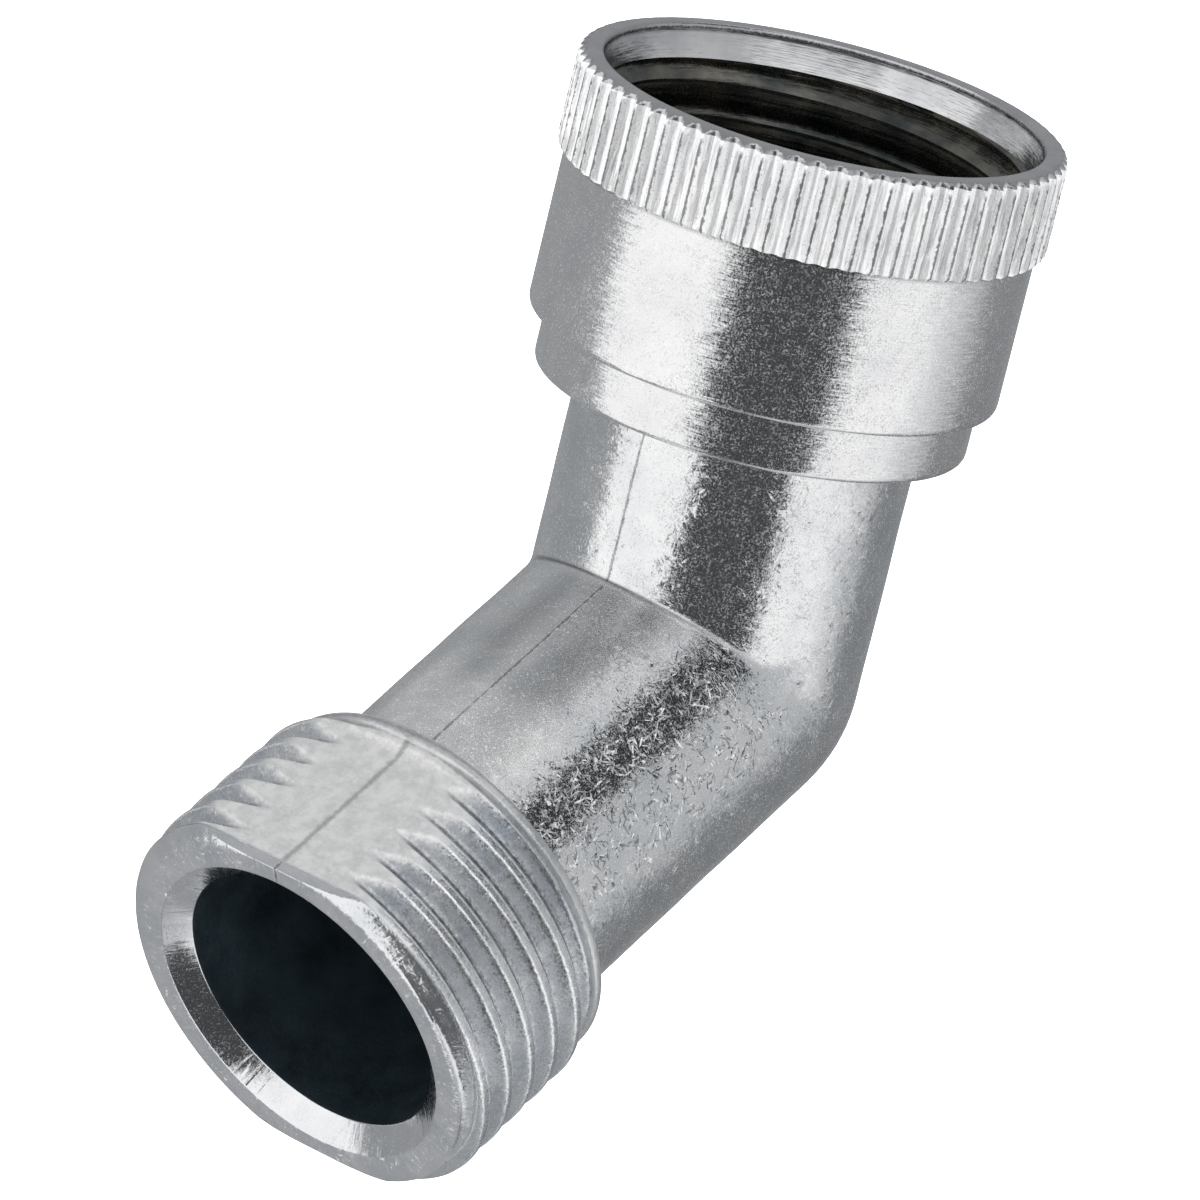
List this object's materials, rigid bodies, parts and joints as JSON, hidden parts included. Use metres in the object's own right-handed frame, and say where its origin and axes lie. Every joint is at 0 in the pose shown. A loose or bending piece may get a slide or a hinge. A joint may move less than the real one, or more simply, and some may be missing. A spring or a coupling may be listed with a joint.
{
  "type": "hose elbow connector",
  "caption": "Angled garden-hose elbow of cast metal, with a knurled swivel nut at its inlet and a hose thread with two flats at its outlet.",
  "frame": {"origin": "centre of the swivel nut's mouth, in the plane of its rim", "axes": "+Z along the nut's axis and out of its mouth; the outlet points down and towards -Y, 60 degrees off -Z"},
  "size_m": [0.0304, 0.0536, 0.0653],
  "materials": {
    "cast_elbow": "as-cast bright zinc alloy",
    "turned_nut": "turned bright zinc alloy",
    "washer_rubber": "matt black rubber"
  },
  "bodies": {
    "elbow": {"elbow_body": "cast_elbow"},
    "nut": {"swivel_nut": "turned_nut"},
    "washer": {"hose_washer": "washer_rubber"}
  },
  "joints": [
    {"name": "nut_swivel", "type": "hinge", "parent": "elbow", "child": "nut", "pos_m": [0, 0, -0.018], "axis": [0, 0, 1], "continuous": true},
    {"name": "washer_lift", "type": "slide", "parent": "nut", "child": "washer", "axis": [0, 0, 1], "range_m": [0, 0.03]}
  ]
}
